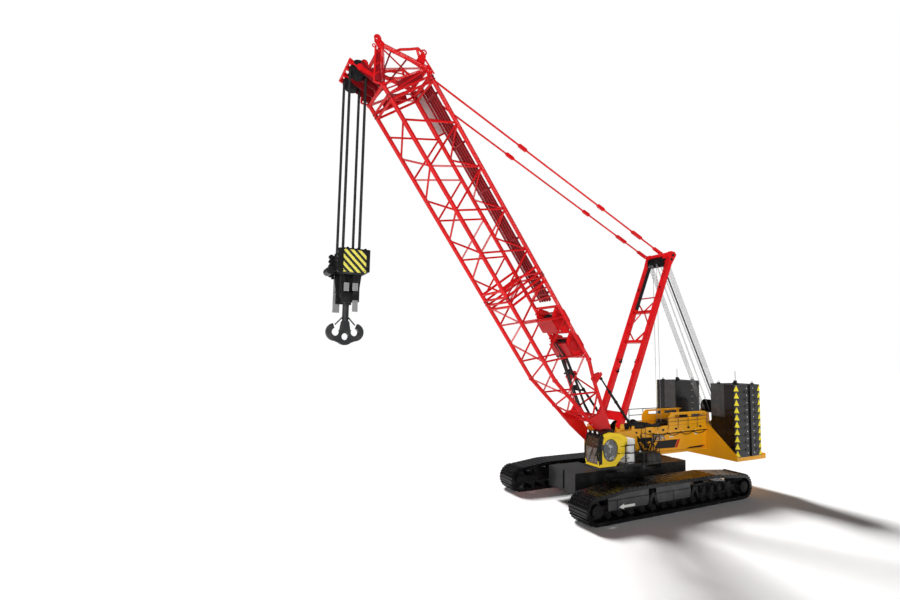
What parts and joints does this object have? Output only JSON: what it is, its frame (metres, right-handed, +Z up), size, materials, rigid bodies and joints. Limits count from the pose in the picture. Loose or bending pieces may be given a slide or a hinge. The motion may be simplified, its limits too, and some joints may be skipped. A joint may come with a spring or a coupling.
{
  "type": "crawler crane",
  "caption": "Lattice-boom crawler crane on two tracks, with slewing superstructure, luffing boom and mast, counterweight stacks, hook block and double hook.",
  "frame": {"origin": "on the ground under the slewing axis", "axes": "+X forward (the boom points this way at rest), +Y to the crane's left (the cab's side), +Z up"},
  "size_m": [28.7398, 8.63, 24.342],
  "materials": {
    "backstop_black": "gloss",
    "backstop_steel": "polished",
    "block_grey": "satin",
    "boom_red": "gloss",
    "cabinet_white": "gloss",
    "counterweight_grey": "satin paint",
    "dark_red": "satin",
    "deck_grey": "satin",
    "frame_yellow": "gloss",
    "glazing": "tinted, polished",
    "hook_grey": "forged, painted",
    "machinery_grey": "satin",
    "rail_grey": "satin",
    "rope_wire": "greased",
    "seat_fabric": "woven",
    "sheave_black": "satin",
    "undercarriage_black": "gloss",
    "wheel_black": "satin paint"
  },
  "bodies": {
    "undercarriage": {"track_left": "undercarriage_black", "track_right": "undercarriage_black", "track_frame_left": "undercarriage_black", "track_frame_right": "undercarriage_black", "track_wheels_left": "wheel_black", "track_wheels_right": "wheel_black", "carbody": "undercarriage_black", "carbody_ballast_front": "undercarriage_black", "carbody_ballast_rear": "undercarriage_black", "slew_ring_lower": "sheave_black"},
    "superstructure": {"slew_ring_upper": "sheave_black", "main_frame": "frame_yellow", "rear_housing": "frame_yellow", "engine": "machinery_grey", "frame_winches": "sheave_black", "cab_shell": "frame_yellow", "cab_side_left": "frame_yellow", "cab_glass": "glazing", "cab_seat": "seat_fabric", "platform": "deck_grey", "cabinet": "cabinet_white", "railings": "rail_grey", "side_walk": "deck_grey", "access_ladder": "rail_grey", "counterweight_tray": "frame_yellow", "counterweight_left": "counterweight_grey", "counterweight_right": "counterweight_grey", "rear_gantry": "frame_yellow", "gantry_sheaves": "sheave_black"},
    "cab_door": {"cab_door": "frame_yellow", "door_glass": "glazing"},
    "boom": {"boom_foot": "boom_red", "boom_insert": "boom_red", "boom_head": "boom_red", "tip_sheaves": "sheave_black", "boom_winches": "dark_red", "boom_bars": "dark_red"},
    "mast": {"mast_frame": "boom_red", "mast_sheaves": "sheave_black", "mast_cylinder": "sheave_black"},
    "pendants": {"pendant_left": "boom_red", "pendant_right": "boom_red"},
    "backstop_barrel_left": {"backstop_barrel_left": "backstop_black"},
    "backstop_rod_left": {"backstop_rod_left": "backstop_steel"},
    "backstop_barrel_right": {"backstop_barrel_right": "backstop_black"},
    "backstop_rod_right": {"backstop_rod_right": "backstop_steel"},
    "hoist_line": {"hoist_ropes": "rope_wire"},
    "hook_block": {"rope_sleeves": "rope_wire", "block_frame": "block_grey", "block_sheaves": "sheave_black"},
    "hook": {"hook": "hook_grey"}
  },
  "joints": [
    {"name": "slew", "type": "hinge", "parent": "undercarriage", "child": "superstructure", "pos_m": [0, 0, 2.2], "axis": [0, 0, 1], "continuous": true},
    {"name": "cab_door_swing", "type": "hinge", "parent": "superstructure", "child": "cab_door", "pos_m": [2.436, 2.622, 3.3], "axis": [0, 0, 1], "range_deg": [0, 95]},
    {"name": "boom_luff", "type": "hinge", "parent": "superstructure", "child": "boom", "pos_m": [1.478, 0, 3.237], "axis": [0, -1, 0], "range_deg": [-24.2, 29.8]},
    {"name": "mast_luff", "type": "hinge", "parent": "superstructure", "child": "mast", "pos_m": [0.85, 0, 4.4], "axis": [0, -1, 0], "range_deg": [-26.73, 32.9]},
    {"name": "pendant_swing", "type": "hinge", "parent": "boom", "child": "pendants", "pos_m": [13.90739, 0, 23.30858], "axis": [0, -1, 0], "range_deg": [-0.11, 0.098]},
    {"name": "hoist_hang", "type": "hinge", "parent": "boom", "child": "hoist_line", "pos_m": [17.76128, 0, 22.60042], "axis": [0, -1, 0], "range_deg": [-29.85, 24.25]},
    {"name": "hoist", "type": "slide", "parent": "hoist_line", "child": "hook_block", "axis": [0, 0, -1], "range_m": [0, 8]},
    {"name": "hook_swivel", "type": "hinge", "parent": "hook_block", "child": "hook", "pos_m": [17.76128, 0, 11.5], "axis": [0, 0, 1], "continuous": true},
    {"name": "backstop_left_swing", "type": "hinge", "parent": "superstructure", "child": "backstop_barrel_left", "pos_m": [0.12, 1.21, 4.3], "axis": [0, -1, 0], "range_deg": [-24.49, 30.15]},
    {"name": "backstop_left_slide", "type": "slide", "parent": "backstop_barrel_left", "child": "backstop_rod_left", "axis": [0.6364, 0, 0.7714], "range_m": [-0.8662, 0.7038]},
    {"name": "backstop_right_swing", "type": "hinge", "parent": "superstructure", "child": "backstop_barrel_right", "pos_m": [0.12, -1.21, 4.3], "axis": [0, -1, 0], "range_deg": [-24.49, 30.15]},
    {"name": "backstop_right_slide", "type": "slide", "parent": "backstop_barrel_right", "child": "backstop_rod_right", "axis": [0.6364, 0, 0.7714], "range_m": [-0.8662, 0.7038]}
  ],
  "couplings": [
    {"joint": "mast_luff", "follows": "boom_luff", "ratio": 1.1025},
    {"joint": "pendant_swing", "follows": "boom_luff", "ratio": -0.002},
    {"joint": "hoist_hang", "follows": "boom_luff", "ratio": -1},
    {"joint": "backstop_left_swing", "follows": "boom_luff", "ratio": 1.01},
    {"joint": "backstop_left_slide", "follows": "boom_luff", "m_per_rad": -1.6616},
    {"joint": "backstop_right_swing", "follows": "boom_luff", "ratio": 1.01},
    {"joint": "backstop_right_slide", "follows": "boom_luff", "m_per_rad": -1.6616}
  ]
}
